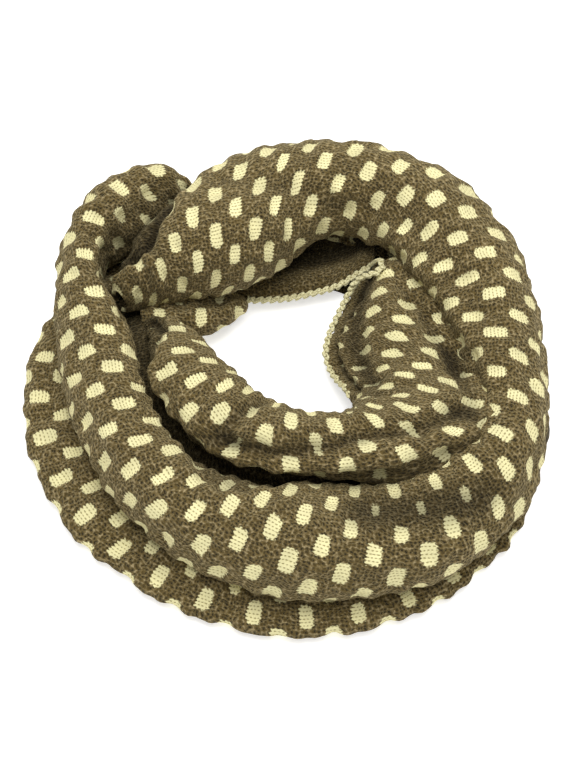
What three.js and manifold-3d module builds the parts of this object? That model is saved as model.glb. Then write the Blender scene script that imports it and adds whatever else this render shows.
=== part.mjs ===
// Infinity scarf: one long knitted band joined end to end, wound twice round a neck hole and dropped
// on a flat surface. Millimetres, +Z up, X to the right, Y to the back, origin at the bottom centre
// of the bounding box.
import * as THREE from "three";
import { mergeVertices } from "three/addons/utils/BufferGeometryUtils.js";
import Module from "manifold-3d";

const wasm = await Module();
wasm.setup();

// Driving sizes
const CLOTH_THICKNESS = 3.0;        // a lofty double knit
const CUT_GAP = 1.2;                // how far one stretch is cut back from another that lies over it
const CORE_GAP = 2.9;               // air between the outer cloth and the hidden layers inside it
const SELVAGE_RADIUS = 1.6;         // the cream chain that binds off the band's edges
const SELVAGE_GAP = 0.4;            // air between a chain and the cloth that it binds
const SLOPE_SELVAGE_GAP = 0.96;     // and more of it where the cloth's edge turns more
const CENTRE_SHIFT = { x: 2.885, y: -11.84 };  // moves the ring's centre to the middle of its box
const DEGREE = Math.PI / 180;

// How the tables are read and the bodies built
const ROW_SPACING = 46;             // mean distance between the rows of a stretch
const DEGREE_SPACING = 0.6;         // mean distance for a degree round a section
const CUT_OVERRUN = 0.03;           // how far a cutting roll runs past its stretch, in table rows
const CUT_DEGREES = 3;              // how far a cutting wall runs past its two edges
const SEAM_SHARE = 0.004;           // half of the gap between two stretches, in table rows
const LEAST_HALF = 0.6;             // smallest half width that an inset leaves
const MERGE_DISTANCE = 1e-3;
const ROLL_SIDES = 18;
const CORE_SIDES = 10;
const SELVAGE_SIDES = 6;
const BELOW_FLOOR = -60;            // lowest point of a roll before it is cut at the floor
const FLOOR_BLOCK = 900;

// Colours of the yarns
const BROWN = { color: 0x6b5c3d, roughness: 0.95, metalness: 0 };
const BROWN_SHADE = { color: 0x54462d, roughness: 0.95, metalness: 0 };
const CREAM = { color: 0xe0d7a9, roughness: 0.9, metalness: 0 };

// Each stretch of the band is a roll: cloth laid round part of an ellipse that is swept along the
// ring, clockwise seen from above. A table has one row for each section. x, y and z are the roll's
// centre, half and rise its half width and half height, and aim is the way its outer side faces.
// from and to are where the cloth starts and ends round the section: 0 faces the neck hole, 90 is
// the top, 180 faces outwards and 270 is underneath.
const COLUMNS = ["x", "y", "z", "half", "rise", "aim", "from", "to"];

function table(rows) {
  return rows.map((row) => Object.fromEntries(COLUMNS.map((name, index) => [name, row[index]])));
}

// The upper turn of the band: from its tucked start over the back, the right, the front and the
// left, to its end beneath its own start.
const OUTER_TURN = table([
  [-127, 73, 40, 9, 12, 146, -80, 215],
  [-111, 88, 48, 24, 26, 134, -80, 225],
  [-88, 104, 54, 38, 34, 122, -75, 245],
  [-58, 121, 56, 48, 38, 112, -70, 262],
  [-21, 141, 58, 50, 39, 102, -65, 265],
  [18, 158, 60, 39, 38, 90, -65, 265],
  [58, 159, 60, 34, 37, 74, -60, 265],
  [98, 137, 57, 41, 37, 53, -30, 265],
  [127, 98, 51, 43, 37, 30, 0, 262],
  [144, 52, 46, 37, 36, 12, 5, 250],
  [151, 5, 42, 33, 34, -1, 0, 238],
  [151, -38, 40, 29, 32, -19, -15, 228],
  [131, -77, 38, 33, 32, -42, -20, 224],
  [95, -104, 37, 37, 33, -63, -20, 222],
  [51, -115, 36, 39, 33, -81, -20, 222],
  [6, -116, 36, 40, 33, -93, -20, 222],
  [-37, -106, 36, 38, 33, -110, -20, 222],
  [-77, -84, 37, 33, 32, -133, -20, 222],
  [-108, -50, 38, 30, 33, -152, -20, 222],
  [-127, -8, 38, 30, 34, -170, -20, 224],
  [-138, 38, 40, 30, 36, -174, -20, 226],
  [-150, 80, 44, 21, 38, -178, -25, 238],
  [-148, 108, 48, 20, 38, -192, -30, 240],
  [-130, 133, 48, 28, 38, -215, -30, 240],
  [-107, 156, 46, 26, 35, -236, -30, 235],
  [-84, 164, 44, 17, 28, -250, -30, 230],
  [-64, 157, 40, 12, 20, -255, -30, 225],
]);

// The lower turn, inside the upper one: a wide slope on the right, then a roll along the front and
// the left, which goes under the upper turn's start.
const INNER_TURN = table([
  [80, 108, 16, 30, 34, 10, 0, 100],
  [82, 92, 15, 38, 39, 6, 0, 105],
  [90, 66, 13, 55, 43, -3, 0, 108],
  [102, 36, 12, 75, 44, -8, 0, 108],
  [115, 3, 14, 84, 46, -14, 0, 112],
  [111, -28, 24, 73, 50, -24, -5, 125],
  [82, -50, 42, 47, 40, -40, -25, 165],
  [44, -60, 57, 29, 28, -72, -50, 225],
  [5, -58, 59, 26, 25, -91, -60, 235],
  [-20, -49, 57, 29, 26, -106, -60, 235],
  [-42, -38, 55, 31, 27, -123, -60, 230],
  [-60, -18, 52, 30, 26, -142, -60, 220],
  [-74, 4, 48, 28, 26, -160, -60, 218],
  [-82, 26, 42, 25, 25, -173, -60, 215],
  [-90, 48, 30, 21, 23, -185, -60, 215],
  [-98, 68, 21, 17, 18, -194, -60, 210],
]);

// The end of the lower turn folds back under the start of the upper one, with a rounded tip.
const LEFT_LOBE = table([
  [-112, 80, 22, 20, 16, 98, -70, 150],
  [-90, 78, 24, 24, 18, 94, -70, 150],
  [-66, 79, 24, 24, 17, 94, -70, 150],
  [-48, 83, 22, 19, 14, 98, -70, 150],
  [-37, 87, 20, 10, 9, 104, -70, 160],
  [-32, 89, 19, 4, 5, 108, -70, 170],
]);

// The stretch at the back shows its wrong side under the upper turn.
const BACK_STRIP = table([
  [-44, 114, 13, 22, 6, 98, 0, 165],
  [-8, 118, 12, 24, 6, 94, 0, 165],
  [19, 123, 13, 24, 6, 90, 0, 165],
  [40, 128, 16, 24, 6, 86, 0, 165],
  [56, 135, 21, 24, 6, 82, 0, 165],
  [68, 139, 25, 23, 6, 80, 0, 165],
]);

// The lowest fold lies on the surface all round. A row gives its outer edge: azimuth, radius from
// the ring's centre, and how wide and how high the fold is there.
const SKIRT_EDGE = [
  { azimuth: 163, radius: 197, half: 30, rise: 12 },
  { azimuth: 144, radius: 196, half: 28, rise: 11 },
  { azimuth: 122, radius: 196, half: 28, rise: 10 },
  { azimuth: 100, radius: 190, half: 28, rise: 10 },
  { azimuth: 78, radius: 187, half: 28, rise: 10.5 },
  { azimuth: 56, radius: 186, half: 28, rise: 10.5 },
  { azimuth: 35, radius: 186, half: 28, rise: 10 },
  { azimuth: 15, radius: 187, half: 28, rise: 9.5 },
  { azimuth: 0, radius: 189, half: 28, rise: 9.5 },
  { azimuth: -16, radius: 187, half: 28, rise: 9.5 },
  { azimuth: -34, radius: 186, half: 28, rise: 9.5 },
  { azimuth: -54, radius: 181, half: 28, rise: 9.5 },
  { azimuth: -74, radius: 176, half: 28, rise: 9.5 },
  { azimuth: -92, radius: 173, half: 28, rise: 9.5 },
  { azimuth: -110, radius: 171, half: 28, rise: 9.5 },
  { azimuth: -130, radius: 174, half: 30, rise: 10 },
  { azimuth: -150, radius: 182, half: 30, rise: 11 },
  { azimuth: -169, radius: 190, half: 30, rise: 12 },
  { azimuth: -184, radius: 195, half: 30, rise: 12 },
];

// The hidden layers between the turns: inner and outer radius of the stack, and its height.
const STACK = [
  { azimuth: 180, inner: 62, outer: 138, height: 26, shoulder: 20 },
  { azimuth: 150, inner: 88, outer: 144, height: 16, shoulder: 16 },
  { azimuth: 130, inner: 104, outer: 146, height: 8, shoulder: 8 },
  { azimuth: 105, inner: 108, outer: 144, height: 6, shoulder: 6 },
  { azimuth: 80, inner: 114, outer: 142, height: 6, shoulder: 6 },
  { azimuth: 55, inner: 106, outer: 140, height: 10, shoulder: 10 },
  { azimuth: 30, inner: 58, outer: 140, height: 20, shoulder: 20 },
  { azimuth: 0, inner: 52, outer: 140, height: 24, shoulder: 20 },
  { azimuth: -30, inner: 52, outer: 138, height: 34, shoulder: 16 },
  { azimuth: -60, inner: 42, outer: 132, height: 40, shoulder: 14 },
  { azimuth: -90, inner: 36, outer: 126, height: 40, shoulder: 14 },
  { azimuth: -120, inner: 30, outer: 124, height: 40, shoulder: 14 },
  { azimuth: -150, inner: 40, outer: 130, height: 34, shoulder: 14 },
];
const STACK_LAYERS = 3;             // cloth edges seen one on another inside the neck hole
const LAYER_POINTS = 3;             // points on each of those edges
const LAYER_BULGE = 5;              // how far each edge stands out over the groove under it
const STACK_STEPS = 36;
const STACK_MIDDLE = 0.52;          // where the stack steps down, as a share of its width
const STACK_STEP_RUN = 0.33;        // how far the step runs, as a share of the stack's height
const STACK_FOOT = -5;              // the stack starts below the floor, which cuts it flat
const SKIRT_FROM = 66;
const SKIRT_TO = 290;
const SKIRT_STEPS = 42;
const SKIRT_ACROSS = 7;
const SKIRT_CORE_STEPS = 28;

// The largest folds, as soft troughs (depth above 0) and ridges (below 0). start and end are places
// on a stretch: [row of its table, angle round its section].
const OUTER_FOLDS = [
  { start: [5.6, 20], end: [3.2, 118], depth: 4.5, width: 11 },
  { start: [6.9, 62], end: [9.2, 70], depth: 4, width: 12 },
  { start: [20.2, 95], end: [22.4, 60], depth: 5, width: 10 },
  { start: [22.2, 40], end: [23.0, 120], depth: 4, width: 11 },
  { start: [23.6, 30], end: [24.2, 110], depth: -4, width: 15 },
  { start: [11.6, 60], end: [13.2, 100], depth: 2.5, width: 12 },
  { start: [17.6, 150], end: [19.6, 120], depth: 2.5, width: 10 },
];
const INNER_FOLDS = [
  { start: [6.4, 95], end: [9.4, 105], depth: 4, width: 8 },
  { start: [9.2, 40], end: [9.9, 150], depth: 4.5, width: 8 },
  { start: [2.2, 62], end: [5.8, 70], depth: 4, width: 9 },
  { start: [12.8, 40], end: [14.6, 150], depth: 3, width: 6 },
];

// Curves through table rows
function spline(before, left, right, after, t) {
  const a = -0.5 * before + 1.5 * left - 1.5 * right + 0.5 * after;
  const b = before - 2.5 * left + 2 * right - 0.5 * after;
  const c = -0.5 * before + 0.5 * right;
  return ((a * t + b) * t + c) * t + left;
}

function rowAt(rows, place) {
  const index = Math.min(Math.floor(place), rows.length - 2);
  const last = rows.length - 1;
  const around = [-1, 0, 1, 2].map((step) => rows[THREE.MathUtils.clamp(index + step, 0, last)]);
  const result = {};
  for (const name of Object.keys(rows[0])) {
    result[name] = spline(...around.map((row) => row[name]), place - index);
  }
  return result;
}

// A table that goes all the way round gets its last row again before it and its first two after it,
// so places 1 to length + 1 go round once.
function goingRound(rows, turnedName) {
  const turned = (row, turn) => ({ ...row, [turnedName]: row[turnedName] + turn });
  return [turned(rows[rows.length - 1], 360), ...rows, turned(rows[0], -360), turned(rows[1], -360)];
}

// How far the folds push the cloth in at a place of a stretch.
function foldDepth(folds, place, degrees) {
  let depth = 0;
  for (const fold of folds) {
    const runAlong = (fold.end[0] - fold.start[0]) * ROW_SPACING;
    const runAcross = (fold.end[1] - fold.start[1]) * DEGREE_SPACING;
    const along = (place - fold.start[0]) * ROW_SPACING;
    const across = (degrees - fold.start[1]) * DEGREE_SPACING;
    const run = runAlong ** 2 + runAcross ** 2;
    const share = THREE.MathUtils.clamp((along * runAlong + across * runAcross) / run, 0, 1);
    const distance = Math.hypot(along - share * runAlong, across - share * runAcross);
    depth += fold.depth * Math.exp(-((distance / fold.width) ** 2));
  }
  return depth;
}

// A point of a roll, at an angle round its section. inset moves it in from the outer face, and floor
// is its lowest height.
function rollPoint(row, degrees, inset, floor) {
  const reach = -Math.max(row.half - inset, LEAST_HALF) * Math.cos(degrees * DEGREE);
  const lift = Math.max(row.rise - inset, LEAST_HALF) * Math.sin(degrees * DEGREE);
  const aim = row.aim * DEGREE;
  const x = row.x + reach * Math.cos(aim);
  const y = row.y + reach * Math.sin(aim);
  return new THREE.Vector3(x, y, Math.max(row.z + lift, floor));
}

// Closed bodies from rings of points. A closed body goes all the way round; an open one has its two
// end rings capped.
function loft(rings, caps) {
  const size = rings[0].length;
  const positions = rings.flat().flatMap((point) => [point.x, point.y, point.z]);
  const triangles = [];
  const last = caps ? rings.length - 1 : rings.length;
  for (let i = 0; i < last; i += 1) {
    const here = i * size;
    const next = ((i + 1) % rings.length) * size;
    for (let j = 0; j < size; j += 1) {
      const k = (j + 1) % size;
      triangles.push(here + j, next + k, here + k, here + j, next + j, next + k);
    }
  }
  if (caps) {
    const lastRing = (rings.length - 1) * size;
    for (const [a, b, c] of caps(size)) {
      triangles.push(a, b, c, lastRing + c, lastRing + b, lastRing + a);
    }
  }
  return solidOf(positions, triangles);
}

// The end of a full section is a fan, and the end of a wall a strip between its two faces.
function fanCap(size) {
  return Array.from({ length: size - 2 }, (_, j) => [0, j + 1, j + 2]);
}

function stripCap(size) {
  const faces = [];
  for (let j = 0; j < size / 2 - 1; j += 1) {
    const mirror = size - 1 - j;
    faces.push([j, j + 1, mirror - 1], [j, mirror - 1, mirror]);
  }
  return faces;
}

function solidOf(positions, triangles) {
  const geometry = new THREE.BufferGeometry();
  geometry.setAttribute("position", new THREE.Float32BufferAttribute(positions, 3));
  geometry.setIndex(triangles);
  const merged = mergeVertices(geometry, MERGE_DISTANCE);
  const index = merged.index.array;
  const kept = [];
  for (let i = 0; i < index.length; i += 3) {
    const [a, b, c] = [index[i], index[i + 1], index[i + 2]];
    if (a !== b && b !== c && a !== c) {
      kept.push(a, b, c);
    }
  }
  const vertProperties = new Float32Array(merged.attributes.position.array);
  return new wasm.Manifold(new wasm.Mesh({ numProp: 3, vertProperties, triVerts: new Uint32Array(kept) }));
}

function geometryOf(solid) {
  const mesh = solid.getMesh();
  const geometry = new THREE.BufferGeometry();
  geometry.setAttribute("position", new THREE.BufferAttribute(mesh.vertProperties, 3));
  geometry.setIndex(new THREE.BufferAttribute(mesh.triVerts, 1));
  geometry.computeVertexNormals();
  return geometry;
}

// Sections of a stretch
function places(stretch) {
  const { start, end, steps } = stretch;
  const count = stretch.round ? steps : steps + 1;
  return Array.from({ length: count }, (_, i) => start + (end - start) * (i / steps));
}

// The cloth of a stretch: its outer face and, one thickness in, its inner face. grow adds to both.
function wall(stretch, grow = 0) {
  const { rows, folds, across } = stretch;
  const overrun = grow > 0 ? CUT_DEGREES : 0;
  const rings = places(stretch).map((place) => {
    const row = rowAt(rows, place);
    const outer = [];
    const inner = [];
    for (let j = 0; j <= across; j += 1) {
      const degrees = row.from - overrun + ((row.to - row.from + 2 * overrun) * j) / across;
      const folded = foldDepth(folds, place, degrees);
      outer.push(rollPoint(row, degrees, folded - grow, -grow));
      inner.push(rollPoint(row, degrees, folded + CLOTH_THICKNESS + grow, CLOTH_THICKNESS + grow));
    }
    return [...outer, ...inner.reverse()];
  });
  return loft(rings, stretch.round ? null : stripCap);
}

// The whole roll of a stretch as a solid, inset from its outer face or, below 0, grown past it.
function roll(stretch, inset, sides = ROLL_SIDES) {
  const { rows, folds } = stretch;
  const rings = places(stretch).map((place) => {
    const row = rowAt(rows, place);
    return Array.from({ length: sides }, (_, j) => {
      const degrees = (360 * j) / sides;
      return rollPoint(row, degrees, foldDepth(folds, place, degrees) + inset, BELOW_FLOOR);
    });
  });
  return loft(rings, stretch.round ? null : fanCap);
}

// The stack of hidden layers: a ring with one rounded edge over another towards the neck hole.
function stackBody() {
  const rows = goingRound(STACK, "azimuth");
  const edgePoints = STACK_LAYERS * LAYER_POINTS;
  const stations = places({ start: 1, end: 1 + STACK.length, steps: STACK_STEPS, round: true });
  const rings = stations.map((place) => {
    const row = rowAt(rows, place);
    const azimuth = row.azimuth * DEGREE;
    const section = [];
    for (let j = 0; j <= edgePoints; j += 1) {
      const dent = LAYER_BULGE * Math.abs(Math.cos((j / edgePoints) * STACK_LAYERS * Math.PI));
      section.push([row.inner + dent, STACK_FOOT + (row.height * j) / edgePoints]);
    }
    const middle = row.inner + (row.outer - row.inner) * STACK_MIDDLE;
    section.push([middle - row.height * STACK_STEP_RUN, row.height]);
    section.push([middle, row.shoulder]);
    section.push([row.outer, row.shoulder / 2]);
    section.push([row.outer, STACK_FOOT]);
    return section.map(([r, z]) => new THREE.Vector3(r * Math.cos(azimuth), r * Math.sin(azimuth), z));
  });
  return loft(rings, null);
}

// The chain along a free edge: a round bead just past the first points of a stretch's wall. It leaves
// out the sections that are skipped, and is lifted a little off the floor.
function selvage(stretch, skipped, lift, gap) {
  const away = SELVAGE_RADIUS + gap;
  const centres = places(stretch).slice(skipped).map((place) => {
    const row = rowAt(stretch.rows, place);
    const edge = rollPoint(row, row.from, -away, 0);
    edge.z = Math.max(edge.z + lift, SELVAGE_RADIUS + SELVAGE_GAP);
    return edge;
  });
  const last = centres.length - 1;
  const rings = centres.map((centre, i) => {
    const along = centres[Math.min(i + 1, last)].clone().sub(centres[Math.max(i - 1, 0)]).normalize();
    const side = new THREE.Vector3(-along.y, along.x, 0).normalize();
    const up = along.clone().cross(side);
    return Array.from({ length: SELVAGE_SIDES }, (_, k) => {
      const angle = (k / SELVAGE_SIDES) * 2 * Math.PI;
      const point = centre.clone().addScaledVector(side, SELVAGE_RADIUS * Math.cos(angle));
      return point.addScaledVector(up, -SELVAGE_RADIUS * Math.sin(angle));
    });
  });
  return loft(rings, fanCap);
}

// Cuts
function cut(solid, cutters) {
  const rest = cutters.reduce((left, cutter) => left.subtract(cutter), solid);
  return rest.decompose().sort((a, b) => b.volume() - a.volume())[0];
}

function belowFloor() {
  const block = new THREE.BoxGeometry(FLOOR_BLOCK, FLOOR_BLOCK, FLOOR_BLOCK);
  block.translate(0, 0, -FLOOR_BLOCK / 2);
  return solidOf([...block.attributes.position.array], [...block.index.array]);
}

// Stretches
function stretch(rows, folds, start, end, steps, across) {
  return { rows, folds, start: start + SEAM_SHARE, end: end - SEAM_SHARE, steps, across };
}

const upperBack = stretch(OUTER_TURN, OUTER_FOLDS, 0, 6.5, 16, 13);
const upperRight = stretch(OUTER_TURN, OUTER_FOLDS, 6.5, 11.5, 11, 12);
const upperFront = stretch(OUTER_TURN, OUTER_FOLDS, 11.5, 17.5, 13, 12);
const upperLeft = stretch(OUTER_TURN, OUTER_FOLDS, 17.5, 21.5, 9, 12);
const upperEnd = stretch(OUTER_TURN, OUTER_FOLDS, 21.5, 26, 11, 12);
const lowerRight = stretch(INNER_TURN, INNER_FOLDS, 0, 5.5, 13, 9);
const lowerFront = stretch(INNER_TURN, INNER_FOLDS, 5.5, 11, 13, 12);
const lowerLeft = stretch(INNER_TURN, INNER_FOLDS, 11, 15, 9, 11);
const lobe = stretch(LEFT_LOBE, [], 0, 5, 10, 9);
const strip = stretch(BACK_STRIP, [], 0, 5, 12, 6);
const skirtRows = goingRound(SKIRT_EDGE.map((row) => ({
  x: (row.radius - row.half) * Math.cos(row.azimuth * DEGREE),
  y: (row.radius - row.half) * Math.sin(row.azimuth * DEGREE),
  z: row.rise,
  half: row.half,
  rise: row.rise,
  aim: row.azimuth,
  from: SKIRT_FROM,
  to: SKIRT_TO,
})), "aim");
const skirt = {
  rows: skirtRows,
  folds: [],
  start: 1,
  end: 1 + SKIRT_EDGE.length,
  steps: SKIRT_STEPS,
  across: SKIRT_ACROSS,
  round: true,
};

// Which stretch gives way to which: one that goes under another is cut back to just clear of it.
function over(...stretches) {
  return stretches.map((piece) => {
    const overrun = piece.round ? 0 : CUT_OVERRUN;
    return roll({ ...piece, start: piece.start - overrun, end: piece.end + overrun }, -CUT_GAP);
  });
}

const upperTurn = [upperBack, upperRight, upperFront, upperLeft, upperEnd];
const walls = {
  upper_turn_back: cut(wall(upperBack), over(upperLeft)),
  upper_turn_right: wall(upperRight),
  upper_turn_front: cut(wall(upperFront), over(lowerFront)),
  upper_turn_left: wall(upperLeft),
  upper_turn_end: cut(wall(upperEnd), over(upperBack)),
  lower_turn_right: cut(wall(lowerRight), over(upperRight, upperBack, upperFront)),
  lower_turn_front: cut(wall(lowerFront), over(upperRight, upperLeft)),
  lower_turn_left: cut(wall(lowerLeft), over(upperLeft, upperBack)),
  left_lobe: cut(wall(lobe), over(lowerLeft, upperBack, upperLeft, upperEnd)),
  back_strip: cut(wall(strip), over(lobe, upperBack, upperRight, lowerRight)),
  skirt: cut(wall(skirt), [...over(...upperTurn), ...over(strip)]),
};
const stripChain = cut(selvage(strip, 1, 0.5, SELVAGE_GAP), over(lobe, lowerRight));
const slopeChain = cut(selvage(lowerRight, 1, 1, SLOPE_SELVAGE_GAP), over(upperBack));

// The hidden layers fill the rolls, each cut back like its own cloth, and stand on the surface
// between them.
function hiddenLayers() {
  const filling = (piece, start, end, steps, cutters) => (
    cut(roll({ ...piece, start, end, steps }, CLOTH_THICKNESS + CORE_GAP, CORE_SIDES), cutters)
  );
  const skirtCore = roll({ ...skirt, steps: SKIRT_CORE_STEPS }, CLOTH_THICKNESS + CORE_GAP, CORE_SIDES);
  const base = stackBody().add(skirtCore);
  const shown = [...upperTurn, lowerFront, lowerLeft, lobe, strip, skirt];
  const cloth = shown.map((piece) => wall(piece, CUT_GAP));
  const fillings = [
    filling(upperBack, 1, 11.6, 20, over(upperLeft, lowerFront, skirt)),
    filling(upperFront, 11.5, 21.6, 17, over(lowerFront, skirt)),
    filling(upperEnd, 21.5, 25.5, 11, over(upperBack, skirt)),
    filling(lowerRight, 1, 5.6, 7, over(...upperTurn, skirt)),
    filling(lowerFront, 5.5, 11.1, 10, over(upperRight, upperLeft)),
    filling(lowerLeft, 11, 14.5, 6, over(upperLeft, upperBack)),
    filling(lobe, 0.5, 4.6, 5, over(lowerLeft, upperBack, upperLeft, upperEnd)),
  ];
  return cut(fillings.reduce((sum, piece) => sum.add(piece), cut(base, cloth)), [belowFloor()]);
}

const scarf = new THREE.Group();

function add(name, solid, look) {
  const mesh = new THREE.Mesh(geometryOf(solid), new THREE.MeshStandardMaterial(look));
  mesh.name = name;
  mesh.position.set(CENTRE_SHIFT.x, CENTRE_SHIFT.y, 0);
  scarf.add(mesh);
}

for (const [name, solid] of Object.entries(walls)) {
  add(name, solid, name === "back_strip" ? BROWN_SHADE : BROWN);
}
add("selvage_back", stripChain, CREAM);
add("selvage_slope", slopeChain, CREAM);
add("hidden_layers", hiddenLayers(), BROWN_SHADE);

export default scarf;
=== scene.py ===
"""Infinity scarf: a wide knitted loop with cream dots, wound twice round a neck hole and dropped."""

import math

import bpy
import numpy as np
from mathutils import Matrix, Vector, noise


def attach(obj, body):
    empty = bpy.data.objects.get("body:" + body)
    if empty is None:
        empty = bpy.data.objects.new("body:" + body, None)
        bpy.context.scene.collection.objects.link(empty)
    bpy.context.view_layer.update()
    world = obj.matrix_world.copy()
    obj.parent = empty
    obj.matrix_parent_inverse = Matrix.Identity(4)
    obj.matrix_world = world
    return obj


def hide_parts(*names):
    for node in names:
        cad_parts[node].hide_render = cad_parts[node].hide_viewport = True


bl_info = {
    "name": "Knitted Infinity Scarf",
    "version": (1, 0, 0),
    "blender": (4, 5, 0),
    "location": "View3D > Sidebar > Scarf",
    "description": "Builds a knitted infinity scarf with a dot pattern, wound on itself and dropped",
    "category": "Add Mesh",
}

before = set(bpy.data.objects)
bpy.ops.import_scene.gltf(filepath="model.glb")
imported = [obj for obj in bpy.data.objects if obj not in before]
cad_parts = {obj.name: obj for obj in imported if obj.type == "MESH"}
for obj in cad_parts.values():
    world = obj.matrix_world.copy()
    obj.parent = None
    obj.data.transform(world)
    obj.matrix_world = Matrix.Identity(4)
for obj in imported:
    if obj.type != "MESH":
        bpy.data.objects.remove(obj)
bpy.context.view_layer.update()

MM = 0.001
CENTRE_SHIFT = (2.885, -11.84)  # moves the tables' centre to the middle of the scarf's box

# The tables below are in millimetres and degrees. Every stretch of the band is a roll: cloth laid
# round part of an ellipse that is swept along the ring, clockwise seen from above. A row is one
# section: its centre, half width, half height, the way its outer side faces, and the angles where the
# cloth starts and ends: 0 faces the neck hole, 90 is the top, 180 the outside and 270 underneath.
COLUMNS = ("x", "y", "z", "half", "rise", "aim", "start", "end")

OUTER_TURN = [
    (-127, 73, 40, 9, 12, 146, -80, 215),
    (-111, 88, 48, 24, 26, 134, -80, 225),
    (-88, 104, 54, 38, 34, 122, -75, 245),
    (-58, 121, 56, 48, 38, 112, -70, 262),
    (-21, 141, 58, 50, 39, 102, -65, 265),
    (18, 158, 60, 39, 38, 90, -65, 265),
    (58, 159, 60, 34, 37, 74, -60, 265),
    (98, 137, 57, 41, 37, 53, -30, 265),
    (127, 98, 51, 43, 37, 30, 0, 262),
    (144, 52, 46, 37, 36, 12, 5, 250),
    (151, 5, 42, 33, 34, -1, 0, 238),
    (151, -38, 40, 29, 32, -19, -15, 228),
    (131, -77, 38, 33, 32, -42, -20, 224),
    (95, -104, 37, 37, 33, -63, -20, 222),
    (51, -115, 36, 39, 33, -81, -20, 222),
    (6, -116, 36, 40, 33, -93, -20, 222),
    (-37, -106, 36, 38, 33, -110, -20, 222),
    (-77, -84, 37, 33, 32, -133, -20, 222),
    (-108, -50, 38, 30, 33, -152, -20, 222),
    (-127, -8, 38, 30, 34, -170, -20, 224),
    (-138, 38, 40, 30, 36, -174, -20, 226),
    (-150, 80, 44, 21, 38, -178, -25, 238),
    (-148, 108, 48, 20, 38, -192, -30, 240),
    (-130, 133, 48, 28, 38, -215, -30, 240),
    (-107, 156, 46, 26, 35, -236, -30, 235),
    (-84, 164, 44, 17, 28, -250, -30, 230),
    (-64, 157, 40, 12, 20, -255, -30, 225),
]
INNER_TURN = [
    (80, 108, 16, 30, 34, 10, 0, 100),
    (82, 92, 15, 38, 39, 6, 0, 105),
    (90, 66, 13, 55, 43, -3, 0, 108),
    (102, 36, 12, 75, 44, -8, 0, 108),
    (115, 3, 14, 84, 46, -14, 0, 112),
    (111, -28, 24, 73, 50, -24, -5, 125),
    (82, -50, 42, 47, 40, -40, -25, 165),
    (44, -60, 57, 29, 28, -72, -50, 225),
    (5, -58, 59, 26, 25, -91, -60, 235),
    (-20, -49, 57, 29, 26, -106, -60, 235),
    (-42, -38, 55, 31, 27, -123, -60, 230),
    (-60, -18, 52, 30, 26, -142, -60, 220),
    (-74, 4, 48, 28, 26, -160, -60, 218),
    (-82, 26, 42, 25, 25, -173, -60, 215),
    (-90, 48, 30, 21, 23, -185, -60, 215),
    (-98, 68, 21, 17, 18, -194, -60, 210),
]
LEFT_LOBE = [
    (-112, 80, 22, 20, 16, 98, -70, 150),
    (-90, 78, 24, 24, 18, 94, -70, 150),
    (-66, 79, 24, 24, 17, 94, -70, 150),
    (-48, 83, 22, 19, 14, 98, -70, 150),
    (-37, 87, 20, 10, 9, 104, -70, 160),
    (-32, 89, 19, 4, 5, 108, -70, 170),
]
BACK_STRIP = [
    (-44, 114, 13, 22, 6, 98, 0, 165),
    (-8, 118, 12, 24, 6, 94, 0, 165),
    (19, 123, 13, 24, 6, 90, 0, 165),
    (40, 128, 16, 24, 6, 86, 0, 165),
    (56, 135, 21, 24, 6, 82, 0, 165),
    (68, 139, 25, 23, 6, 80, 0, 165),
]

# The lowest fold lies on the surface all round: azimuth, radius of its outer edge, and half its
# width and height.
SKIRT_EDGE = [
    (163, 197, 30, 12),
    (144, 196, 28, 11),
    (122, 196, 28, 10),
    (100, 190, 28, 10),
    (78, 187, 28, 10.5),
    (56, 186, 28, 10.5),
    (35, 186, 28, 10),
    (15, 187, 28, 9.5),
    (0, 189, 28, 9.5),
    (-16, 187, 28, 9.5),
    (-34, 186, 28, 9.5),
    (-54, 181, 28, 9.5),
    (-74, 176, 28, 9.5),
    (-92, 173, 28, 9.5),
    (-110, 171, 28, 9.5),
    (-130, 174, 30, 10),
    (-150, 182, 30, 11),
    (-169, 190, 30, 12),
    (-184, 195, 30, 12),
]
SKIRT_ANGLES = (66, 290)

# The hidden layers between the turns: azimuth, inner and outer radius of the stack, its height next to
# the neck hole and its height at the outside.
STACK = [
    (180, 62, 138, 30, 26),
    (150, 84, 146, 30, 30),
    (130, 104, 146, 20, 20),
    (105, 108, 144, 6, 6),
    (80, 114, 142, 6, 6),
    (55, 106, 140, 10, 10),
    (30, 58, 140, 20, 18),
    (0, 52, 140, 24, 18),
    (-30, 52, 138, 34, 14),
    (-60, 42, 132, 40, 12),
    (-90, 36, 126, 40, 12),
    (-120, 30, 124, 40, 12),
    (-150, 40, 130, 34, 12),
]
STACK_LAYERS = 3
LAYER_BULGE = 5
STACK_SHOULDER = 0.52  # where the stack's top ends, as a share of its width
STACK_STEPS = 180
STACK_EDGE_POINTS = 30

# How far inside the sections of the thick rolls, and of the low ones, their filling lies
ROLL_INSET = 9
LOW_INSET = 6

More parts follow.
